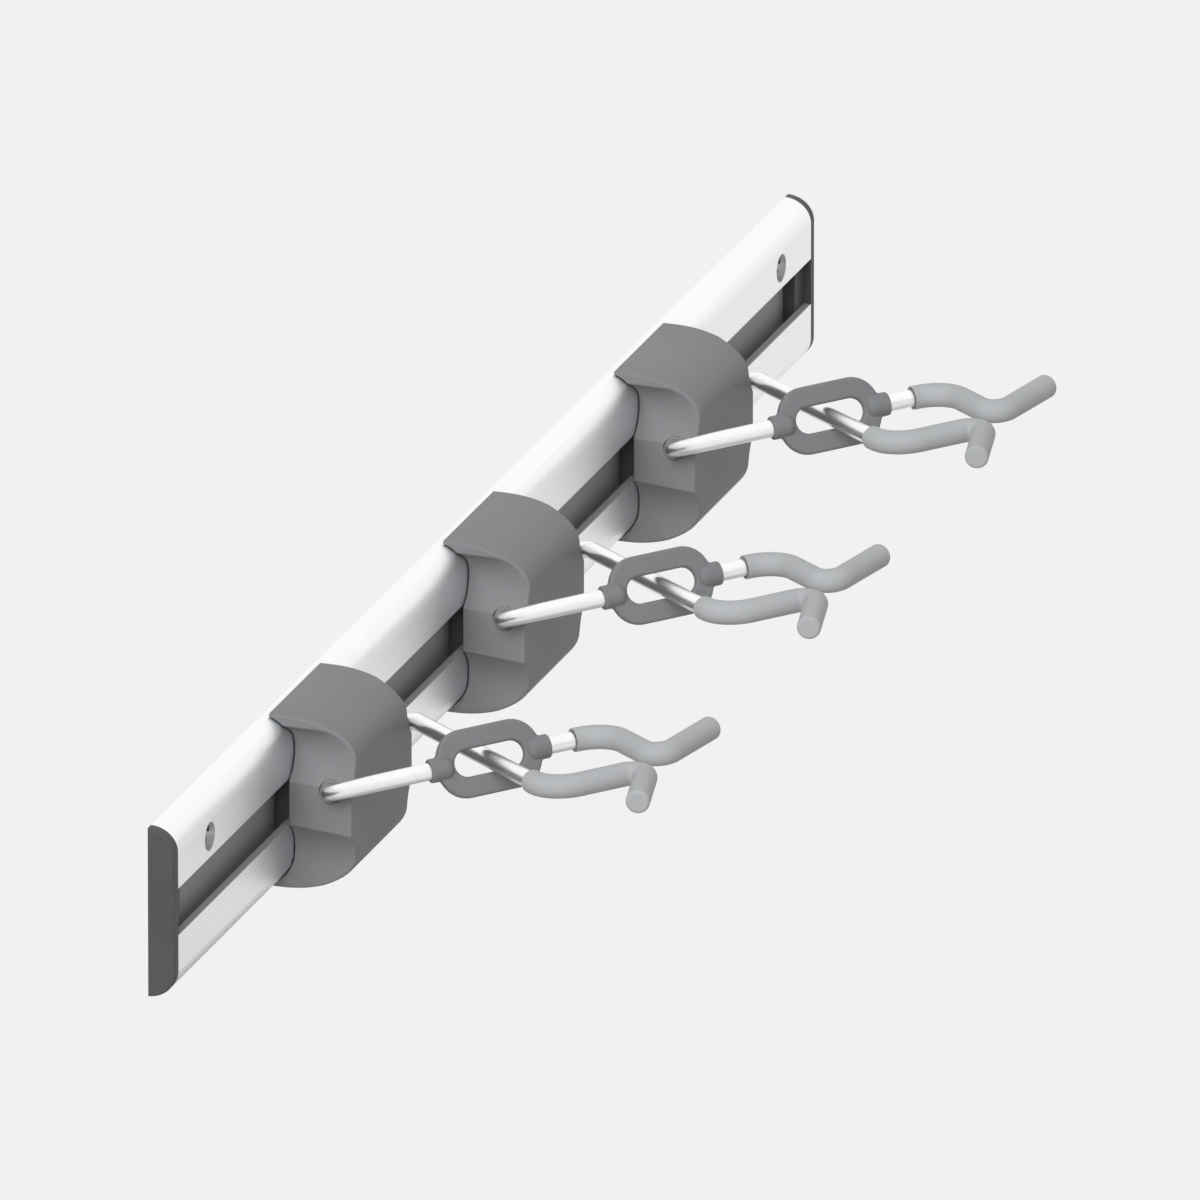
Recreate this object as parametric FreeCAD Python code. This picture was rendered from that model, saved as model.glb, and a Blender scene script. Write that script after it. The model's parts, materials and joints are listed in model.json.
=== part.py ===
import FreeCAD, Part
import math
import os

# Tool holder rail: an aluminium wall rail with three holders that slide along it.
# Each holder grips a tool's handle between two crossed arms of bent wire.
#
# Frame, in millimetres: X runs along the rail, the wall is the plane Y = 0, and -Y points
# out into the room. +Z is up. The origin is the middle of the rail's back face.
# "Out" in a name or a comment is the distance from the wall, so out = -Y.

# Rail
overall_length = 500.0
rail_height = 45.0
rail_depth = 7.2
shoulder_height = 6.5
slot_mouth = 12.5
slot_height = 20.0
back_wall = 1.8
lip_wall = 2.0
web_wall = 1.6
shell_wall = 1.6
screw_hole_diameter = 7.5
screw_hole_inset = 27.0
screw_hole_height = 11.8

# End caps
cap_thickness = 3.0
cap_plug_length = 7.0
cap_plug_clearance = 0.1
cap_edge_radius = 0.6

# Where the holders stand on the rail
holder_count = 3
holder_pitch = 134.0
middle_holder_x = -9.7

# Cover of a holder
cover_depth = 25.3
cover_lip_wall = 0.4
cover_lip_out = 2.0
cover_dome_out = 5.2
cover_front_flat = 25.2
cover_wall = 2.0
band_height = 12.0
band_width_at_rail = 40.0
band_width_at_front = 47.0
corner_width = 40.0
corner_rim = 2.9
scoop_at_rail = 4.6
scoop_at_front = 1.9
cover_edge_radius = 0.7
running_gap = 0.3

# Arms: bent wire, turning about an axis that slopes down towards the holder's middle
wire_diameter = 4.5
leg_front_gap = 1.85
pivot_height = 5.0
pivot_slope_deg = 14.0
arm_rise_deg = 5.0
arm_cross_deg = 42.5
elbow_radius = 4.6
leg_x = 4.2
leg_height = 11.0
leg_radius = 3.2
bearing_clearance = 0.08
bearing_wall = 2.2
bearing_end_gap = 0.7
side_hole_diameter = 6.4
side_hole_depth = 1.2
stop_gap = 0.25

# Fingers
nest_corner_x = 22.15
nest_radius = 9.0
pinch_corner_x = 3.9
pinch_slope_deg = 42.6
pinch_radius = 4.0
tip_x = 28.8
tip_slope_deg = 76.9

# Soft sleeves on the fingers
sleeve_diameter = 6.2
sleeve_fit = 0.05
sleeve_lead = 1.2
sleeve_end_wall = 1.2
sleeve_tip_radius = 0.9
sleeve_mouth_depth = 0.8
sleeve_mouth_wall = 0.2

# Link plate
link_length = 28.0
link_width = 17.6
link_thickness = 2.8
link_corner_radius = 7.6
link_slot_length = 19.2
link_slot_width = 6.8
link_edge_radius = 0.8
link_tilt_deg = 110.0
neck_width = 5.8
neck_radius = 1.5
socket_diameter = 6.2
socket_reach = 16.4
socket_depth = 4.4
socket_fit = 0.05
socket_root_radius = 1.2
socket_root_length = 2.2
socket_rim_radius = 0.4

# Slide block and its screws
foot_length = 30.0
block_width = 25.4
block_height = 30.0
block_thickness = 2.6
screw_x = 9.7
screw_z = 12.3
screw_diameter = 3.0
screw_head_diameter = 5.6
screw_head_height = 1.5
screw_grip = 7.0
screw_end_gap = 1.0
screw_clearance = 0.15
post_wall = 1.3

rail_length = overall_length - 2 * cap_thickness
wire_radius = wire_diameter / 2
sleeve_radius = sleeve_diameter / 2
bearing_radius = wire_radius + bearing_clearance
cover_height = rail_height + 2 * (running_gap + cover_lip_wall)
pivot_out = cover_depth - cover_wall - leg_front_gap - wire_radius
slot_depth = rail_depth - back_wall - lip_wall
block_out = rail_depth + running_gap
block_front_out = block_out + block_thickness


def at(x, out, z):
    """A point from its place along the rail, its distance from the wall and its height."""
    return FreeCAD.Vector(x, -out, z)


def quarter_ellipse(start, corner, end):
    """The exact quarter ellipse that leaves start and meets end along the sides of corner."""
    curve = Part.BezierCurve()
    curve.setPoles([start, corner, end])
    curve.setWeight(2, math.sqrt(0.5))
    return curve.toShape()


def prism(edges, x_start, x_end):
    """A closed outline in the plane X = 0, made solid between two places along the rail."""
    face = Part.Face(Part.Wire(edges))
    solid = face.extrude(FreeCAD.Vector(abs(x_end - x_start), 0, 0))
    solid.translate(FreeCAD.Vector(min(x_start, x_end), 0, 0))
    return solid


def block(x_range, out_range, z_range):
    """A rectangular solid between two places along the rail, two distances out and two heights."""
    size = [x_range[1] - x_range[0], out_range[1] - out_range[0], z_range[1] - z_range[0]]
    return Part.makeBox(*size, FreeCAD.Vector(x_range[0], -out_range[1], z_range[0]))


def rail_outline(growth=0.0):
    """Outline of the rail: a flat-backed bar whose two front edges are quarter ellipses.

    Growth moves the outline outwards.
    """
    top = rail_height / 2 + growth
    front = rail_depth + growth
    flat = rail_height / 2 - shoulder_height
    return [
        Part.makeLine(at(0, 0, -top), at(0, 0, top)),
        quarter_ellipse(at(0, 0, top), at(0, front, top), at(0, front, flat)),
        Part.makeLine(at(0, front, flat), at(0, front, -flat)),
        quarter_ellipse(at(0, front, -flat), at(0, front, -top), at(0, 0, -top)),
    ]


def chamber_outline(side, shrink=0.0):
    """The hollow above (side 1) or below (side -1) the T-slot; its outer corner is rounded."""
    low = slot_height / 2 + web_wall + shrink
    high = rail_height / 2 - shell_wall - shrink
    back = back_wall + shrink
    front = rail_depth - shell_wall - shrink
    flat = rail_height / 2 - shoulder_height
    return [
        Part.makeLine(at(0, back, side * high), at(0, back, side * low)),
        Part.makeLine(at(0, back, side * low), at(0, front, side * low)),
        Part.makeLine(at(0, front, side * low), at(0, front, side * flat)),
        quarter_ellipse(at(0, front, side * flat), at(0, front, side * high), at(0, back, side * high)),
    ]


def slot_pocket(x_start, x_end, shrink=0.0):
    """The wide inner part of the T-slot between two places along the rail."""
    half = slot_height / 2 - shrink
    out_range = (back_wall + shrink, back_wall + slot_depth - shrink)
    return block((x_start, x_end), out_range, (-half, half))


def make_rail():
    """The extruded profile: domed front, T-slot, two hollow shoulders and two screw holes."""
    half = rail_length / 2
    solid = prism(rail_outline(), -half, half)
    mouth_half = slot_mouth / 2
    mouth = block((-half, half), (back_wall + slot_depth / 2, rail_depth), (-mouth_half, mouth_half))
    solid = solid.cut([mouth, slot_pocket(-half, half)])
    for side in (1, -1):
        solid = solid.cut(prism(chamber_outline(side), -half, half))
    for side in (1, -1):
        hole_x = side * (overall_length / 2 - screw_hole_inset)
        hole = Part.makeCylinder(
            screw_hole_diameter / 2, rail_depth, at(hole_x, 0, screw_hole_height), at(0, 1, 0)
        )
        solid = solid.cut(hole)
    return solid


def make_left_cap():
    """An end cap: a plate with the rail's outline and plugs that fill the hollows behind it."""
    inner = -rail_length / 2
    outer = -overall_length / 2
    plug_end = inner + cap_plug_length
    plate = prism(rail_outline(), inner, outer)
    rim = [edge for edge in plate.Edges if all(abs(v.X - outer) < 1e-6 for v in edge.Vertexes)]
    plate = plate.makeFillet(cap_edge_radius, rim)
    plugs = [slot_pocket(inner, plug_end, cap_plug_clearance)]
    for row in (1, -1):
        plugs.append(prism(chamber_outline(row, cap_plug_clearance), inner, plug_end))
    return plate.fuse(plugs)


def cover_profile(wall):
    """Side view of the cover, or of its hollow when wall is more than 0."""
    back_out = cover_lip_out
    top = cover_height / 2 - wall
    front = cover_depth - wall
    flat = cover_front_flat / 2
    return [
        Part.makeLine(at(0, back_out, -top), at(0, back_out, top)),
        Part.makeLine(at(0, back_out, top), at(0, cover_dome_out, top)),
        quarter_ellipse(at(0, cover_dome_out, top), at(0, front, top), at(0, front, flat)),
        Part.makeLine(at(0, front, flat), at(0, front, -flat)),
        quarter_ellipse(at(0, front, -flat), at(0, front, -top), at(0, cover_dome_out, -top)),
        Part.makeLine(at(0, cover_dome_out, -top), at(0, back_out, -top)),
    ]


def cover_front_view(out, band_half, scoop, wall):
    """Front view of the cover at one distance out: straight bands and four scooped corners."""
    band = band_half - wall
    corner = corner_width / 2 - wall
    low = band_height / 2
    top = cover_height / 2
    high = top - corner_rim
    middle = (low + high) / 2
    deep = (band + corner) / 2 - scoop
    edges = []
    for side in (1, -1):
        rising = Part.Arc(
            at(side * band, out, side * low),
            at(side * deep, out, side * middle),
            at(side * corner, out, side * high),
        )
        falling = Part.Arc(
            at(-side * corner, out, side * high),
            at(-side * deep, out, side * middle),
            at(-side * band, out, side * low),
        )
        edges += [
            Part.makeLine(at(side * band, out, -side * low), at(side * band, out, side * low)),
            rising.toShape(),
            Part.makeLine(at(side * corner, out, side * high), at(side * corner, out, side * top)),
            Part.makeLine(at(side * corner, out, side * top), at(-side * corner, out, side * top)),
            Part.makeLine(at(-side * corner, out, side * top), at(-side * corner, out, side * high)),
            falling.toShape(),
        ]
    return Part.Wire(edges)


def cover_sides(wall):
    """The cover's four scooped corners and two bands, as a solid that the side view then trims."""
    slope = (band_width_at_front - band_width_at_rail) / 2 / (cover_depth - rail_depth)
    fade = (scoop_at_front - scoop_at_rail) / (cover_depth - rail_depth)
    views = []
    for out in (0.0, cover_depth):
        band_half = band_width_at_rail / 2 + slope * (out - rail_depth)
        scoop = scoop_at_rail + fade * (out - rail_depth)
        views.append(cover_front_view(out, band_half, scoop, wall))
    return Part.makeLoft(views, True, True)


def side_half_at_pivot():
    """Half the cover's width where the arms come out."""
    share = (pivot_out - rail_depth) / (cover_depth - rail_depth)
    return (band_width_at_rail + (band_width_at_front - band_width_at_rail) * share) / 2


def axis_point(side, x):
    """The point of an arm's pivot axis at a distance x to that side of the holder's middle."""
    rise = (x - side_half_at_pivot()) * math.tan(math.radians(pivot_slope_deg))
    return at(side * x, pivot_out, pivot_height + rise)


def axis_direction(side):
    """Direction of an arm's pivot axis, out of the cover and up."""
    slope = math.radians(pivot_slope_deg)
    return at(side * math.cos(slope), 0, math.sin(slope))


def rounded_cover():
    """The cover's outside as a full solid, every crease rounded but the rim that faces the wall."""
    solid = prism(cover_profile(0.0), -corner_width, corner_width)
    solid = solid.common(cover_sides(0.0)).removeSplitter()
    creases = []
    for edge in solid.Edges:
        bounds = edge.BoundBox
        if -bounds.YMin > cover_lip_out + cover_edge_radius and bounds.XLength < corner_width / 2:
            creases.append(edge)
    return solid.makeFillet(cover_edge_radius, creases)


def make_cover():
    """The moulded cover: a shell with bearings, posts and stop ribs inside."""
    outer = rounded_cover()
    inner = prism(cover_profile(cover_wall), -corner_width, corner_width)
    inner = inner.common(cover_sides(cover_wall))
    rail_room = prism(rail_outline(running_gap), -corner_width, corner_width)
    shell = outer.cut([inner, rail_room])
    inside = []
    for side in (1, -1):
        bearing_start = axis_point(side, leg_bend_end_x() + bearing_end_gap)
        bearing_end = axis_point(side, side_half_at_pivot())
        inside.append(
            Part.makeCylinder(
                bearing_radius + bearing_wall,
                (bearing_end - bearing_start).Length,
                bearing_start,
                axis_direction(side),
            )
        )
        inside.append(stop_rib(side))
        for row in (1, -1):
            post_start = at(side * screw_x, block_front_out, row * screw_z)
            inside.append(Part.makeCylinder(post_radius(), cover_depth, post_start, at(0, 1, 0)))
    inside = inside[0].fuse(inside[1:]).common(outer)
    shell = shell.fuse(inside)
    for side in (1, -1):
        start = axis_point(side, 0.0)
        mouth = axis_point(side, side_half_at_pivot() - side_hole_depth)
        shell = shell.cut(
            [
                Part.makeCylinder(bearing_radius, cover_depth, start, axis_direction(side)),
                Part.makeCylinder(side_hole_diameter / 2, cover_depth, mouth, axis_direction(side)),
            ]
        )
    for side in (1, -1):
        start = at(side * screw_x, block_front_out, side * screw_z)
        depth = screw_grip + screw_end_gap
        shell = shell.cut(Part.makeCylinder(screw_diameter / 2, depth, start, at(0, 1, 0)))
    return shell


def post_radius():
    """Radius of the posts that the slide block's screws go into."""
    return screw_diameter / 2 + post_wall


def stop_rib(side):
    """The rib behind the cover's front that an arm's inner leg rests on."""
    rib_start = pivot_out + wire_radius + stop_gap
    rib_top = pivot_height + leg_height / 2
    x_range = sorted((side * (leg_x - wire_radius), side * (leg_x + wire_radius)))
    return block(x_range, (rib_start, cover_depth), (pivot_height, rib_top))


def unit(vector):
    """The vector at length 1."""
    return FreeCAD.Vector(vector).normalize()


def bend_reach(before, corner, after, radius):
    """How far from a corner a bend of this radius starts and ends."""
    turn = unit(corner - before).getAngle(unit(after - corner))
    return radius * math.tan(turn / 2)


def bent_path(points, radii):
    """Straight runs through the points, joined by tangent arcs at the inner ones."""
    edges = []
    start = points[0]
    for before, corner, after, radius in zip(points, points[1:], points[2:], radii):
        reach = bend_reach(before, corner, after, radius)
        half_turn = math.atan(reach / radius)
        bend_start = corner - unit(corner - before) * reach
        bend_end = corner + unit(after - corner) * reach
        inward = unit(unit(after - corner) - unit(corner - before))
        middle = corner + inward * (radius / math.cos(half_turn) - radius)
        edges.append(Part.makeLine(start, bend_start))
        edges.append(Part.Arc(bend_start, middle, bend_end).toShape())
        start = bend_end
    edges.append(Part.makeLine(start, points[-1]))
    return Part.Wire(edges)


def rod(points, radii, radius):
    """A round bar along a bent path."""
    path = bent_path(points, radii)
    circle = Part.Circle(points[0], unit(points[1] - points[0]), radius).toShape()
    return path.makePipeShell([Part.Wire([circle])], True, True)


def leg_bend_end_x():
    """Where the bend of an arm's inner leg has ended on the pivot axis, from the holder's middle."""
    corner = axis_point(1, leg_x)
    reach = bend_reach(corner + at(0, 0, leg_height), corner, corner + axis_direction(1), leg_radius)
    return leg_x + reach * math.cos(math.radians(pivot_slope_deg))


def elbow_corner_x():
    """Where an arm's straight run would meet its pivot axis, from the holder's middle."""
    run = arm_direction(1)
    turn = axis_direction(1).getAngle(run)
    reach = elbow_radius * math.tan(turn / 2)
    return side_half_at_pivot() + reach * math.cos(math.radians(pivot_slope_deg))


def arm_direction(side):
    """Direction of an arm's straight run, from its own side across the middle and out."""
    cross = math.radians(arm_cross_deg)
    rise = math.radians(arm_rise_deg)
    return at(-side * math.sin(cross), math.cos(cross) * math.cos(rise), math.cos(cross) * math.sin(rise))


def arm_point(side, x, reach):
    """A point in an arm's plane: x across from its own side to the other, reach along the rise."""
    rise = math.radians(arm_rise_deg)
    base = axis_point(side, elbow_corner_x())
    return at(-side * x, pivot_out + reach * math.cos(rise), base.z + reach * math.sin(rise))


def finger_points(side):
    """Corners of the finger: the nest, the pinch and the tip."""
    nest_reach = (nest_corner_x + elbow_corner_x()) / math.tan(math.radians(arm_cross_deg))
    pinch_reach = nest_reach + (nest_corner_x - pinch_corner_x) / math.tan(math.radians(pinch_slope_deg))
    tip_reach = pinch_reach + (tip_x - pinch_corner_x) / math.tan(math.radians(tip_slope_deg))
    return [
        arm_point(side, nest_corner_x, nest_reach),
        arm_point(side, pinch_corner_x, pinch_reach),
        arm_point(side, tip_x, tip_reach),
    ]


def pivot_points(side):
    """Corners of the wire inside the cover: the leg's end, the leg's corner and the elbow's corner."""
    corner = axis_point(side, leg_x)
    return [corner + at(0, 0, leg_height), corner, axis_point(side, elbow_corner_x())]


def cross_point():
    """Where the two arms cross, in the holder's middle plane."""
    return arm_point(1, 0.0, elbow_corner_x() / math.tan(math.radians(arm_cross_deg)))


def wire_tip(side):
    """Where the wire ends inside its sleeve."""
    pinch, tip = finger_points(side)[1:]
    return tip - unit(tip - pinch) * sleeve_end_wall


def make_right_wire():
    """The arm that leaves the cover's right side, in one piece."""
    nest, pinch = finger_points(1)[:2]
    points = [*pivot_points(1), nest, pinch, wire_tip(1)]
    return rod(points, [leg_radius, elbow_radius, nest_radius, pinch_radius], wire_radius)


def make_left_rear_wire():
    """The left arm from its pivot to the link plate."""
    end = cross_point() - arm_direction(-1) * (socket_reach - socket_depth)
    return rod([*pivot_points(-1), end], [leg_radius, elbow_radius], wire_radius)


def make_left_front_wire():
    """The left arm from the link plate to its fingertip."""
    start = cross_point() + arm_direction(-1) * (socket_reach - socket_depth)
    nest, pinch = finger_points(-1)[:2]
    return rod([start, nest, pinch, wire_tip(-1)], [nest_radius, pinch_radius], wire_radius)


def make_sleeve(side):
    """The soft sleeve on a finger: a tube that follows the wire, closed at the tip."""
    nest, pinch, tip = finger_points(side)
    reach = bend_reach(cross_point(), nest, pinch, nest_radius)
    start = nest - arm_direction(side) * (reach + sleeve_lead)
    body = rod([start, nest, pinch, tip], [nest_radius, pinch_radius], sleeve_radius)
    tip_rim = [edge for edge in body.Edges if edge.BoundBox.Center.sub(tip).Length < wire_radius]
    body = body.makeFillet(sleeve_tip_radius, tip_rim)
    bore_radius = wire_radius + sleeve_fit
    before = start - arm_direction(side)
    bore = rod([before, nest, pinch, wire_tip(side)], [nest_radius, pinch_radius], bore_radius)
    mouth_radius = sleeve_radius - sleeve_mouth_wall
    mouth = Part.makeCone(mouth_radius, bore_radius, sleeve_mouth_depth, start, arm_direction(side))
    return body.cut([bore, mouth])


def upright_edges(solid):
    """The edges of a flat piece that run straight through its thickness."""
    return [edge for edge in solid.Edges if abs(edge.tangentAt(edge.FirstParameter).z) > 0.9]


def link_slab(length, width, height):
    """A rectangular slab about the origin: length along X, width along Y and height along Z."""
    return Part.makeBox(length, width, height, FreeCAD.Vector(-length / 2, -width / 2, -height / 2))


def link_socket(end):
    """A link plate's socket: a round boss that grows out of the plate and takes a wire's end."""
    start = socket_reach - socket_depth - socket_root_length + socket_rim_radius
    blend_end = start + socket_root_length
    radius = socket_diameter / 2
    outline = [
        Part.makeLine(FreeCAD.Vector(start, 0, 0), FreeCAD.Vector(start, socket_root_radius, 0)),
        quarter_ellipse(
            FreeCAD.Vector(start, socket_root_radius, 0),
            FreeCAD.Vector(start, radius, 0),
            FreeCAD.Vector(blend_end, radius, 0),
        ),
        Part.makeLine(
            FreeCAD.Vector(blend_end, radius, 0),
            FreeCAD.Vector(socket_reach - socket_rim_radius, radius, 0),
        ),
        quarter_ellipse(
            FreeCAD.Vector(socket_reach - socket_rim_radius, radius, 0),
            FreeCAD.Vector(socket_reach, radius, 0),
            FreeCAD.Vector(socket_reach, radius - socket_rim_radius, 0),
        ),
        Part.makeLine(
            FreeCAD.Vector(socket_reach, radius - socket_rim_radius, 0),
            FreeCAD.Vector(socket_reach, 0, 0),
        ),
        Part.makeLine(FreeCAD.Vector(socket_reach, 0, 0), FreeCAD.Vector(start, 0, 0)),
    ]
    face = Part.Face(Part.Wire(outline))
    socket = face.revolve(FreeCAD.Vector(0, 0, 0), FreeCAD.Vector(1, 0, 0), 360)
    if end < 0:
        socket.rotate(FreeCAD.Vector(0, 0, 0), FreeCAD.Vector(0, 0, 1), 180)
    return socket


def make_link():
    """The link plate: a rounded slotted plate with a socket for a wire at each end."""
    plate = link_slab(link_length, link_width, link_thickness)
    plate = plate.makeFillet(link_corner_radius, upright_edges(plate))
    neck_length = 2 * (socket_reach - 2 * socket_rim_radius)
    plate = plate.fuse(link_slab(neck_length, neck_width, link_thickness)).removeSplitter()
    roots = [edge for edge in upright_edges(plate) if abs(edge.CenterOfMass.x) < link_length / 2]
    roots = [edge for edge in roots if abs(abs(edge.CenterOfMass.y) - neck_width / 2) < 1e-6]
    plate = plate.makeFillet(neck_radius, roots)
    slot_half = (link_slot_length - link_slot_width) / 2
    slot = link_slab(2 * slot_half, link_slot_width, 2 * link_thickness)
    for end in (1, -1):
        end_centre = FreeCAD.Vector(end * slot_half, 0, -link_thickness)
        slot = slot.fuse(Part.makeCylinder(link_slot_width / 2, 2 * link_thickness, end_centre))
    plate = plate.cut(slot.removeSplitter())
    rims = [edge for edge in plate.Edges if abs(edge.tangentAt(edge.FirstParameter).z) < 0.1]
    plate = plate.makeFillet(link_edge_radius, rims)
    for end in (1, -1):
        bore = Part.makeCylinder(
            wire_radius + socket_fit,
            socket_depth,
            FreeCAD.Vector(end * (socket_reach - socket_depth), 0, 0),
            FreeCAD.Vector(end, 0, 0),
        )
        plate = plate.fuse(link_socket(end)).cut(bore)
    along = arm_direction(-1)
    upright = unit(at(0, -math.sin(math.radians(arm_rise_deg)), math.cos(math.radians(arm_rise_deg))))
    across = along.cross(upright)
    tilt = math.radians(link_tilt_deg)
    lateral = across * math.cos(tilt) + upright * math.sin(tilt)
    normal = along.cross(lateral)
    centre = cross_point()
    plate.transformShape(
        FreeCAD.Matrix(
            along.x, lateral.x, normal.x, centre.x,
            along.y, lateral.y, normal.y, centre.y,
            along.z, lateral.z, normal.z, centre.z,
            0, 0, 0, 1,
        )
    )
    return plate


def make_slide_block():
    """The block that closes the cover's back; its foot runs in the rail's T-slot."""
    plate = block(
        (-block_width / 2, block_width / 2),
        (block_out, block_front_out),
        (-block_height / 2, block_height / 2),
    )
    neck_half = slot_mouth / 2 - running_gap
    x_range = (-foot_length / 2, foot_length / 2)
    neck = block(x_range, (back_wall + slot_depth / 2, block_front_out), (-neck_half, neck_half))
    foot = slot_pocket(*x_range, running_gap)
    solid = plate.fuse([neck, foot])
    for side in (1, -1):
        start = at(side * screw_x, block_out, side * screw_z)
        shank = Part.makeCylinder(screw_diameter / 2 + screw_clearance, block_thickness, start, at(0, 1, 0))
        head = Part.makeCone(
            screw_head_diameter / 2 + screw_clearance, screw_diameter / 2 + screw_clearance,
            screw_head_height + screw_clearance, start, at(0, 1, 0),
        )
        solid = solid.cut([shank, head])
    return solid


def make_screws():
    """The two countersunk screws that hold the slide block to the cover."""
    screws = []
    for side in (1, -1):
        start = at(side * screw_x, block_out + screw_clearance, side * screw_z)
        head = Part.makeCone(
            screw_head_diameter / 2, screw_diameter / 2, screw_head_height, start, at(0, 1, 0)
        )
        length = block_front_out - block_out - screw_clearance + screw_grip
        shank = Part.makeCylinder(screw_diameter / 2, length, start, at(0, 1, 0))
        screws.append(head.fuse(shank))
    return Part.makeCompound(screws)


def mirrored(shape):
    """The shape's mirror image across the rail's middle."""
    return shape.mirror(FreeCAD.Vector(0, 0, 0), FreeCAD.Vector(1, 0, 0))


def save(name, shape):
    """Check one piece and write it as parts/name.step."""
    shape = shape.removeSplitter()
    if shape.ShapeType == "Compound" and len(shape.Solids) == 1:
        shape = shape.Solids[0]
    if not shape.isValid():
        raise ValueError(name + " is not a valid solid")
    shape.exportStep("parts/" + name + ".step")
    print(name, "solids", len(shape.Solids), "volume", round(shape.Volume, 2))


os.makedirs("parts", exist_ok=True)
save("rail", make_rail())
left_cap = make_left_cap()
save("end_cap_left", left_cap)
save("end_cap_right", mirrored(left_cap))

holder_pieces = {
    "cover": make_cover(),
    "slide_block": make_slide_block(),
    "screws": make_screws(),
    "left_rear_wire": make_left_rear_wire(),
    "link_plate": make_link(),
    "left_front_wire": make_left_front_wire(),
    "left_sleeve": make_sleeve(-1),
    "right_wire": make_right_wire(),
    "right_sleeve": make_sleeve(1),
}
for number in range(holder_count):
    holder_x = middle_holder_x + (number - (holder_count - 1) / 2) * holder_pitch
    for piece_name, piece in holder_pieces.items():
        placed = piece.copy()
        placed.translate(FreeCAD.Vector(holder_x, 0, 0))
        save("holder_" + str(number + 1) + "_" + piece_name, placed)
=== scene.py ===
import bpy
import json
import math
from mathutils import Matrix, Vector

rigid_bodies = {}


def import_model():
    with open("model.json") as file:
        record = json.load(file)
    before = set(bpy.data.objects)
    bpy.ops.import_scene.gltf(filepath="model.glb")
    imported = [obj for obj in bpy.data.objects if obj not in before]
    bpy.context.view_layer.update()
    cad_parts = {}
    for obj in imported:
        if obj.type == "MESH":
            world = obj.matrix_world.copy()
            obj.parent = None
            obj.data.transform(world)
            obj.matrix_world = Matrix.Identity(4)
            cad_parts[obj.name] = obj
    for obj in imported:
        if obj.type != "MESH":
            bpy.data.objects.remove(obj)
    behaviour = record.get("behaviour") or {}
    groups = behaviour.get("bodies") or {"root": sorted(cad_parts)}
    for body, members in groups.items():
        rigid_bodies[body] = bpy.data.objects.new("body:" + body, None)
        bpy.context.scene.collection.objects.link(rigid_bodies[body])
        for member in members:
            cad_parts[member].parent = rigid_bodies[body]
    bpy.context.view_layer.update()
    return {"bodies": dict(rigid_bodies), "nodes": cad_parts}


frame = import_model()

# Rail: one aluminium extrusion, satin anodised, with a domed front and a T-slot along its
# middle, which the blocks run in; the slot's walls are painted matt grey as painted shade.
# Two plain holes through the upper half take the screws into the wall. All sizes are in metres.
RAIL_DEPTH = 0.0072
SLOT_HALF_MOUTH = 0.00625
SLOT_HALF_HEIGHT = 0.010
LIP_WALL = 0.002
BACK_WALL = 0.0018
SLOT_SHADE_MARGIN = 0.00003
RAIL_COLOURS = ("#f6f7f8", "#e9ebed")
RAIL_ROUGHNESS = (0.38, 0.5)
EXTRUSION_LINE_WIDTH = 0.0006
EXTRUSION_LINE_LENGTH = 0.125
EXTRUSION_LINE_RELIEF = 0.0001
# Painted shade in the slot: a matt, slightly cloudy grey in place of the bare slot's shadow.
SLOT_PAINTED_SHADE_COLOURS = ("#9e9fa0", "#949597")
SLOT_PAINTED_SHADE_ROUGHNESS = 0.62
SLOT_SHADE_CLOUDS_PER_METRE = 30.0


def linear(hex_colour):
    """The linear colour of an sRGB hex string such as "#d8dadc", with full alpha."""
    parts = [int(hex_colour[i:i + 2], 16) / 255 for i in (1, 3, 5)]
    return [p / 12.92 if p <= 0.04045 else ((p + 0.055) / 1.055) ** 2.4 for p in parts] + [1.0]


def add_node(tree, kind, settings=None, links=None):
    """Adds a node of this kind to a material.

    Settings are its properties, or its inputs' values, by name or by place. Links are its
    inputs, by name or by place, each with the socket that feeds it.
    """
    node = tree.nodes.new(kind)
    for name, value in (settings or {}).items():
        if isinstance(name, str) and hasattr(node, name):
            setattr(node, name, value)
        else:
            node.inputs[name].default_value = value
    for name, source in (links or {}).items():
        tree.links.new(source, node.inputs[name])
    return node


def start_material(name):
    """A new material with an empty node tree, and the tree."""
    material = bpy.data.materials.new(name)
    material.use_nodes = True
    material.node_tree.nodes.clear()
    return material, material.node_tree


def dress(node_name, material):
    """Gives a CAD node its material."""
    for place in frame["nodes"][node_name].material_slots:
        place.material = material


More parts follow.
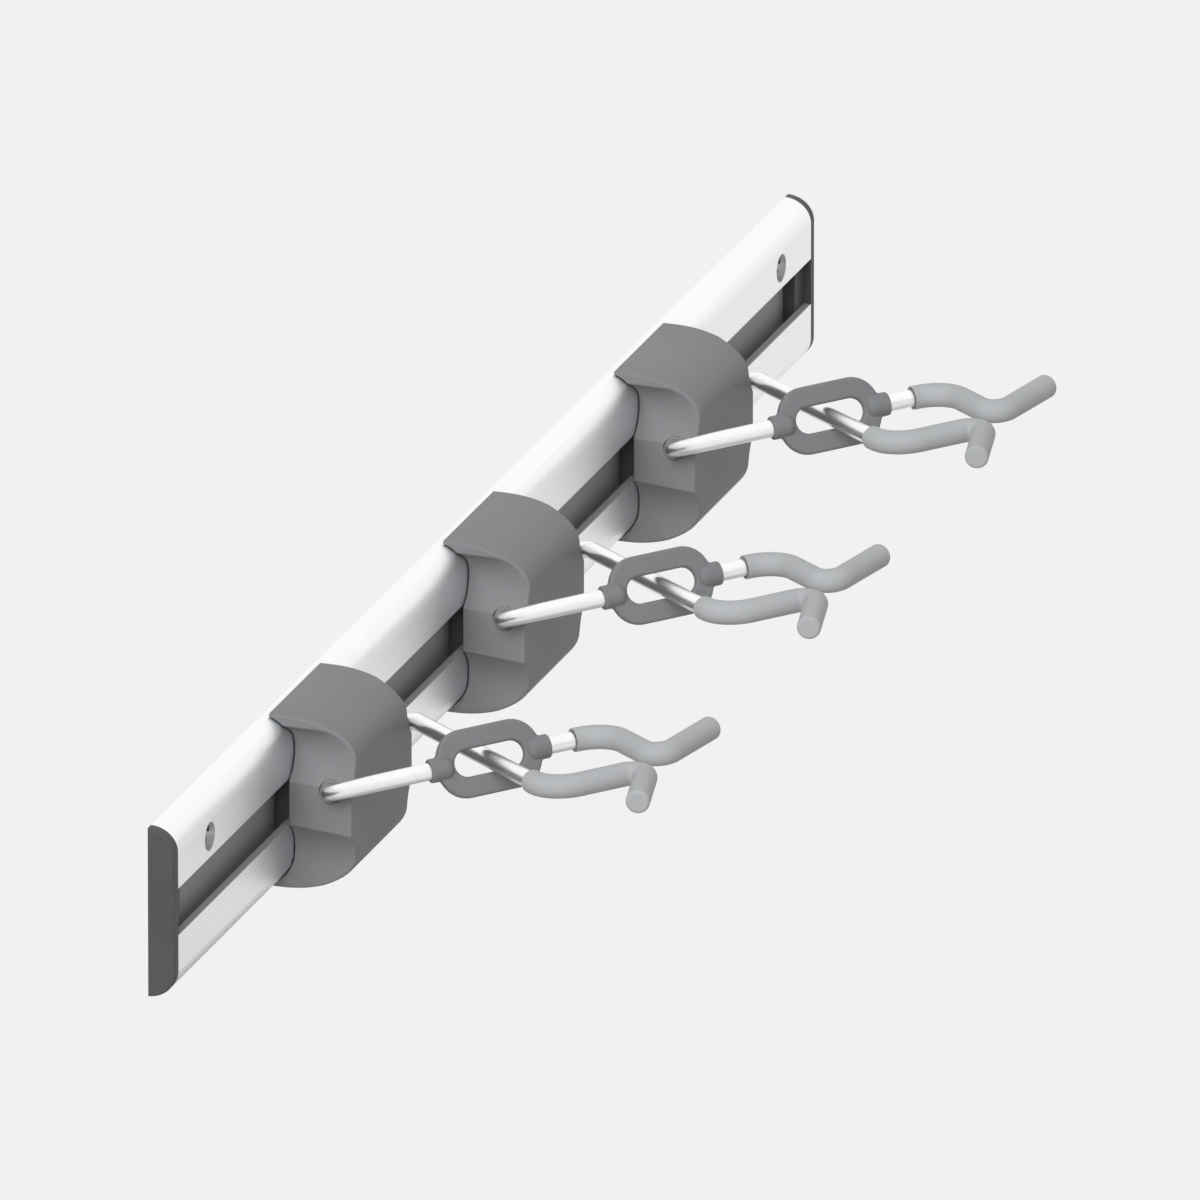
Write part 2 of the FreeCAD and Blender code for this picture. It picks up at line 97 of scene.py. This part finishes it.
def anodised_aluminium():
    """Anodised aluminium: extruded, etched and anodised, so it is a soft-edged, silky mirror
    with fine lines along the rail. The slot's walls are painted a matt grey instead, which is
    painted shade standing in for the slot's shadow."""
    material, tree = start_material("satin_anodised_aluminium")
    place = add_node(tree, "ShaderNodeTexCoord")
    # The lines are drawn wider than the die's own, so that they show.
    line_scale = 1 / EXTRUSION_LINE_WIDTH
    stretched = add_node(
        tree,
        "ShaderNodeMapping",
        {"Scale": (1 / EXTRUSION_LINE_LENGTH, line_scale, line_scale)},
        {"Vector": place.outputs["Object"]},
    )
    lines = add_node(
        tree,
        "ShaderNodeTexNoise",
        {"Scale": 1.0, "Detail": 3.0},
        {"Vector": stretched.outputs[0]},
    )
    metal = add_node(
        tree,
        "ShaderNodeMix",
        {"data_type": "RGBA", 6: linear(RAIL_COLOURS[0]), 7: linear(RAIL_COLOURS[1])},
        {0: lines.outputs["Fac"]},
    )
    clouds = add_node(
        tree,
        "ShaderNodeTexNoise",
        {"Scale": SLOT_SHADE_CLOUDS_PER_METRE, "Detail": 2.0},
        {"Vector": place.outputs["Object"]},
    )
    # The slot's painted shade: a cloudy mid grey that stands in for the shadow inside the slot.
    painted_slot_shade = add_node(
        tree,
        "ShaderNodeMix",
        {"data_type": "RGBA", 6: linear(SLOT_PAINTED_SHADE_COLOURS[0]), 7: linear(SLOT_PAINTED_SHADE_COLOURS[1])},
        {0: clouds.outputs["Fac"]},
    )
    # The painted shade fills two boxes along the rail: the slot's mouth, and its wide part behind
    # the lips. Each box has a half height and runs from the back wall out to its front.
    split = add_node(tree, "ShaderNodeSeparateXYZ", links={"Vector": place.outputs["Object"]})
    height = add_node(tree, "ShaderNodeMath", {"operation": "ABSOLUTE"}, {0: split.outputs["Z"]})
    out = add_node(
        tree, "ShaderNodeMath", {"operation": "MULTIPLY", 1: -1.0}, {0: split.outputs["Y"]}
    )
    off_back = add_node(
        tree,
        "ShaderNodeMath",
        {"operation": "GREATER_THAN", 1: BACK_WALL - SLOT_SHADE_MARGIN},
        {0: out.outputs[0]},
    )
    boxes = []
    for half_height, front in (
        (SLOT_HALF_MOUTH, RAIL_DEPTH - 2 * SLOT_SHADE_MARGIN),
        (SLOT_HALF_HEIGHT, RAIL_DEPTH - LIP_WALL),
    ):
        between = add_node(
            tree,
            "ShaderNodeMath",
            {"operation": "LESS_THAN", 1: half_height + SLOT_SHADE_MARGIN},
            {0: height.outputs[0]},
        )
        behind = add_node(
            tree,
            "ShaderNodeMath",
            {"operation": "LESS_THAN", 1: front + SLOT_SHADE_MARGIN},
            {0: out.outputs[0]},
        )
        deep = add_node(
            tree,
            "ShaderNodeMath",
            {"operation": "MULTIPLY"},
            {0: off_back.outputs[0], 1: behind.outputs[0]},
        )
        boxes.append(add_node(
            tree,
            "ShaderNodeMath",
            {"operation": "MULTIPLY"},
            {0: between.outputs[0], 1: deep.outputs[0]},
        ))
    in_slot = add_node(
        tree,
        "ShaderNodeMath",
        {"operation": "MAXIMUM"},
        {0: boxes[0].outputs[0], 1: boxes[1].outputs[0]},
    )
    colour = add_node(
        tree,
        "ShaderNodeMix",
        {"data_type": "RGBA"},
        {0: in_slot.outputs[0], 6: metal.outputs[2], 7: painted_slot_shade.outputs[2]},
    )
    bare = add_node(
        tree, "ShaderNodeMath", {"operation": "SUBTRACT", 0: 1.0}, {1: in_slot.outputs[0]}
    )
    silk = add_node(
        tree,
        "ShaderNodeMapRange",
        {"To Min": RAIL_ROUGHNESS[0], "To Max": RAIL_ROUGHNESS[1]},
        {"Value": lines.outputs["Fac"]},
    )
    rough = add_node(
        tree,
        "ShaderNodeMix",
        {"data_type": "FLOAT", 3: SLOT_PAINTED_SHADE_ROUGHNESS},
        {0: in_slot.outputs[0], 2: silk.outputs[0]},
    )
    relief = add_node(
        tree,
        "ShaderNodeBump",
        {"Strength": 0.12, "Distance": EXTRUSION_LINE_RELIEF},
        {"Height": lines.outputs["Fac"]},
    )
    shader = add_node(
        tree,
        "ShaderNodeBsdfPrincipled",
        links={
            "Base Color": colour.outputs[2],
            "Metallic": bare.outputs[0],
            "Roughness": rough.outputs[0],
            "Normal": relief.outputs[0],
        },
    )
    add_node(tree, "ShaderNodeOutputMaterial", links={"Surface": shader.outputs[0]})
    return material


dress("rail", anodised_aluminium())

# End caps: two moulded plates, pushed into the rail's hollows by their plugs. They are
# dark-grey ABS with a fine eroded grain and a soft outer rim.
CAP_COLOURS = ("#555557", "#4f4f51")
GRAIN_SIZE = 0.0005
MOULDING_CLOUDS_PER_METRE = 45.0
MOULDING_ROUGHNESS_SPREAD = 0.06


def moulded(name, colours, roughness, grain_height):
    """ABS, nylon or soft rubber from a mould: a fine pebbled grain keeps its gloss dull and
    even, and its grey is very slightly cloudy."""
    material, tree = start_material(name)
    place = add_node(tree, "ShaderNodeTexCoord")
    # The grain is drawn a few times coarser than a real eroded one, so that it shows.
    grain = add_node(
        tree,
        "ShaderNodeTexNoise",
        {"Scale": 1 / GRAIN_SIZE, "Detail": 2.0},
        {"Vector": place.outputs["Object"]},
    )
    clouds = add_node(
        tree,
        "ShaderNodeTexNoise",
        {"Scale": MOULDING_CLOUDS_PER_METRE, "Detail": 3.0},
        {"Vector": place.outputs["Object"]},
    )
    colour = add_node(
        tree,
        "ShaderNodeMix",
        {"data_type": "RGBA", 6: linear(colours[0]), 7: linear(colours[1])},
        {0: clouds.outputs["Fac"]},
    )
    rough = add_node(
        tree,
        "ShaderNodeMapRange",
        {
            "To Min": roughness - MOULDING_ROUGHNESS_SPREAD,
            "To Max": roughness + MOULDING_ROUGHNESS_SPREAD,
        },
        {"Value": grain.outputs["Fac"]},
    )
    relief = add_node(
        tree,
        "ShaderNodeBump",
        {"Strength": 0.35, "Distance": grain_height},
        {"Height": grain.outputs["Fac"]},
    )
    shader = add_node(
        tree,
        "ShaderNodeBsdfPrincipled",
        {"IOR": 1.5, "Specular IOR Level": 0.1},
        {
            "Base Color": colour.outputs[2],
            "Roughness": rough.outputs[0],
            "Normal": relief.outputs[0],
        },
    )
    add_node(tree, "ShaderNodeOutputMaterial", links={"Surface": shader.outputs[0]})
    return material


cap_plastic = moulded("grained_dark_abs", CAP_COLOURS, roughness=0.45, grain_height=0.00005)
dress("end_cap_left", cap_plastic)
dress("end_cap_right", cap_plastic)

# Covers: one ABS moulding on each holder, with a flat band round its middle and four scooped
# corners. The bearings for the arms are moulded inside it.
COVER_COLOURS = ("#828385", "#7a7b7d")
cover_plastic = moulded("grained_grey_abs", COVER_COLOURS, roughness=0.52, grain_height=0.00005)
holders = sorted(name for name in frame["bodies"] if name.startswith("holder_"))
for holder in holders:
    dress(holder + "_cover", cover_plastic)

# Slide blocks: a dark-grey nylon moulding closes the back of each cover, and its foot runs
# in the rail's slot.
BLOCK_COLOURS = ("#5e5f61", "#58595b")
block_plastic = moulded("dark_grey_nylon", BLOCK_COLOURS, roughness=0.5, grain_height=0.00004)
for holder in holders:
    dress(holder + "_slide_block", block_plastic)

# Screws: two countersunk steel screws hold each slide block to its cover. They are
# zinc-plated, which leaves them a little yellow and dull.
SCREW_COLOURS = ("#c9c9c4", "#b4b4ae")
PLATING_CLOUDS_PER_METRE = 350.0
PLATING_ROUGHNESS_SPREAD = 0.04


def plated_steel(name, colours, roughness):
    """Plated steel: a bright metal whose gloss has a faint cloudiness."""
    material, tree = start_material(name)
    place = add_node(tree, "ShaderNodeTexCoord")
    clouds = add_node(
        tree,
        "ShaderNodeTexNoise",
        {"Scale": PLATING_CLOUDS_PER_METRE, "Detail": 4.0},
        {"Vector": place.outputs["Object"]},
    )
    colour = add_node(
        tree,
        "ShaderNodeMix",
        {"data_type": "RGBA", 6: linear(colours[0]), 7: linear(colours[1])},
        {0: clouds.outputs["Fac"]},
    )
    rough = add_node(
        tree,
        "ShaderNodeMapRange",
        {
            "To Min": roughness - PLATING_ROUGHNESS_SPREAD,
            "To Max": roughness + PLATING_ROUGHNESS_SPREAD,
        },
        {"Value": clouds.outputs["Fac"]},
    )
    shader = add_node(
        tree,
        "ShaderNodeBsdfPrincipled",
        {"Metallic": 1.0},
        {"Base Color": colour.outputs[2], "Roughness": rough.outputs[0]},
    )
    add_node(tree, "ShaderNodeOutputMaterial", links={"Surface": shader.outputs[0]})
    return material


screw_steel = plated_steel("zinc_plated_screw_steel", SCREW_COLOURS, roughness=0.32)
for holder in holders:
    dress(holder + "_screws", screw_steel)

# Wires: 4.5 mm round steel, bent cold and then plated bright, so they mirror the room softly.
# Each arm turns in the cover on its own inner leg.
WIRE_COLOURS = ("#f6f6f5", "#ececeb")
wire_steel = plated_steel("bright_plated_wire", WIRE_COLOURS, roughness=0.3)
for holder in holders:
    for wire in ("_left_rear_wire", "_left_front_wire", "_right_wire"):
        dress(holder + wire, wire_steel)

# Link plates: a slotted nylon moulding with a socket at each end, pressed onto the two wires
# of the left arm. The right wire passes through its slot.
LINK_COLOURS = ("#7b7d7f", "#747678")
link_plastic = moulded("grained_grey_nylon", LINK_COLOURS, roughness=0.45, grain_height=0.00004)
for holder in holders:
    dress(holder + "_link_plate", link_plastic)

# Sleeves: soft light-grey rubber, dip-moulded and pushed onto each finger, closed at the tip.
# They are the dullest surface on the part.
SLEEVE_COLOURS = ("#abadaf", "#a3a5a7")
sleeve_rubber = moulded("soft_grey_rubber", SLEEVE_COLOURS, roughness=0.6, grain_height=0.00003)
for holder in holders:
    for sleeve in ("_left_sleeve", "_right_sleeve"):
        dress(holder + sleeve, sleeve_rubber)

# Floor: a plain pale sheet well below the rail. It shows as the background's colour, with a
# small share of paint that keeps the part's shadow. Metal sees it darker below the part and
# white further off, which shades the rail's flat face and the wires' undersides.
BACKGROUND = "#f6f6f6"
FLOOR_PAINT = "#c4c4c4"
GLOW_SHARE = 0.88
FLOOR_HEIGHT = -0.25
FLOOR_HALF = 12.0
FLOOR_SHADE_NEAR = 0.2
FLOOR_SHADE_FAR = 0.6
MIRRORED_NEAR_STRENGTH = 0.42
# At this strength the background's colour is plain white in a mirror.
MIRRORED_STRENGTH = 1.085
floor_mesh = bpy.data.meshes.new("floor")
floor_corners = [(-1, -1), (1, -1), (1, 1), (-1, 1)]
floor_mesh.from_pydata(
    [(x * FLOOR_HALF, y * FLOOR_HALF, FLOOR_HEIGHT) for x, y in floor_corners],
    [],
    [(0, 1, 2, 3)],
)
floor = bpy.data.objects.new("floor", floor_mesh)
bpy.context.scene.collection.objects.link(floor)
floor_material, tree = start_material("pale_floor_paint")
rays = add_node(tree, "ShaderNodeLightPath")
seen = add_node(
    tree,
    "ShaderNodeMath",
    {"operation": "MAXIMUM"},
    {0: rays.outputs["Is Camera Ray"], 1: rays.outputs["Is Glossy Ray"]},
)
paint = add_node(tree, "ShaderNodeBsdfDiffuse", {"Color": linear(FLOOR_PAINT)})
place = add_node(tree, "ShaderNodeTexCoord")
distance_off = add_node(
    tree, "ShaderNodeVectorMath", {"operation": "LENGTH"}, {0: place.outputs["Object"]}
)
mirrored = add_node(
    tree,
    "ShaderNodeMapRange",
    {
        "interpolation_type": "SMOOTHSTEP",
        "From Min": FLOOR_SHADE_NEAR,
        "From Max": FLOOR_SHADE_FAR,
        "To Min": MIRRORED_NEAR_STRENGTH,
        "To Max": MIRRORED_STRENGTH,
    },
    {"Value": distance_off.outputs["Value"]},
)
strength = add_node(
    tree,
    "ShaderNodeMix",
    {"data_type": "FLOAT", 2: 1.0},
    {0: rays.outputs["Is Glossy Ray"], 3: mirrored.outputs[0]},
)
glow = add_node(
    tree, "ShaderNodeEmission", {"Color": linear(BACKGROUND)}, {"Strength": strength.outputs[0]}
)
share = add_node(
    tree, "ShaderNodeMath", {"operation": "MULTIPLY", 1: GLOW_SHARE}, {0: seen.outputs[0]}
)
painted = add_node(
    tree,
    "ShaderNodeMixShader",
    links={0: share.outputs[0], 1: paint.outputs[0], 2: glow.outputs[0]},
)
add_node(tree, "ShaderNodeOutputMaterial", links={"Surface": painted.outputs[0]})
floor_mesh.materials.append(floor_material)

# Light: the pale room all round, one large soft lamp above and to the left, a weak one from
# the front and a soft fill from the right. Metal shows the room alone, so that it doesn't
# clip, but for a faint and very wide ceiling lamp that lifts its edges off the background.
ROOM_STRENGTH = 0.30
world = bpy.data.worlds.new("pale_room")
bpy.context.scene.world = world
world.use_nodes = True
tree = world.node_tree
tree.nodes.clear()
rays = add_node(tree, "ShaderNodeLightPath")
mirrored = add_node(
    tree,
    "ShaderNodeMath",
    {"operation": "MAXIMUM"},
    {0: rays.outputs["Is Glossy Ray"], 1: rays.outputs["Is Transmission Ray"]},
)
unseen = add_node(
    tree,
    "ShaderNodeMapRange",
    {"To Min": ROOM_STRENGTH, "To Max": MIRRORED_STRENGTH},
    {"Value": mirrored.outputs[0]},
)
strength = add_node(
    tree,
    "ShaderNodeMix",
    {"data_type": "FLOAT", 3: 1.0},
    {0: rays.outputs["Is Camera Ray"], 2: unseen.outputs[0]},
)
room = add_node(
    tree, "ShaderNodeBackground", {"Color": linear(BACKGROUND)}, {"Strength": strength.outputs[0]}
)
add_node(tree, "ShaderNodeOutputWorld", links={"Surface": room.outputs[0]})


def add_sun(name, towards, strength, angle_deg, in_gloss=False):
    """A distant lamp that stands in this direction, and shows in the part's gloss or not."""
    lamp = bpy.data.lights.new(name, "SUN")
    lamp.energy = strength
    lamp.angle = math.radians(angle_deg)
    placed = bpy.data.objects.new(name, lamp)
    placed.rotation_mode = "QUATERNION"
    placed.rotation_quaternion = Vector(towards).to_track_quat("Z", "Y")
    placed.visible_glossy = in_gloss
    bpy.context.scene.collection.objects.link(placed)


add_sun("key_lamp", towards=(-0.75, 0.05, 0.66), strength=2.7, angle_deg=50)
add_sun("front_lamp", towards=(-0.6, -0.7, 0.4), strength=0.25, angle_deg=60)
add_sun("right_lamp", towards=(0.9, -0.2, 0.27), strength=0.65, angle_deg=75)
add_sun("ceiling_lamp", towards=(0.5, 0.0, 0.8), strength=0.3, angle_deg=150, in_gloss=True)

# Camera: far off with a long lens, because the drawing has no perspective. FRAME_WIDTH is how
# wide the picture is at the part, in metres, and AIM_RIGHT and AIM_UP are how far its middle
# lies from the frame's origin, as the camera sees it.
AZIMUTH_DEG = -71.015
ELEVATION_DEG = 20.191
SENSOR = 36.0
LENS = 1400.0
FRAME_WIDTH = 0.30678
AIM_RIGHT = 0.03226
AIM_UP = -0.00312
azimuth = math.radians(AZIMUTH_DEG)
elevation = math.radians(ELEVATION_DEG)
towards_camera = Vector((
    math.sin(azimuth) * math.cos(elevation),
    -math.cos(azimuth) * math.cos(elevation),
    math.sin(elevation),
))
turn = towards_camera.to_track_quat("Z", "Y")
distance = FRAME_WIDTH * LENS / SENSOR
camera_data = bpy.data.cameras.new("camera")
camera_data.sensor_width = SENSOR
camera_data.lens = LENS
camera_data.clip_start = 0.1
camera_data.clip_end = 4 * distance
camera = bpy.data.objects.new("camera", camera_data)
camera.rotation_mode = "QUATERNION"
camera.rotation_quaternion = turn
camera.location = turn @ Vector((AIM_RIGHT, AIM_UP, distance))
bpy.context.scene.collection.objects.link(camera)
bpy.context.scene.camera = camera
bpy.context.scene.view_settings.view_transform = "Standard"
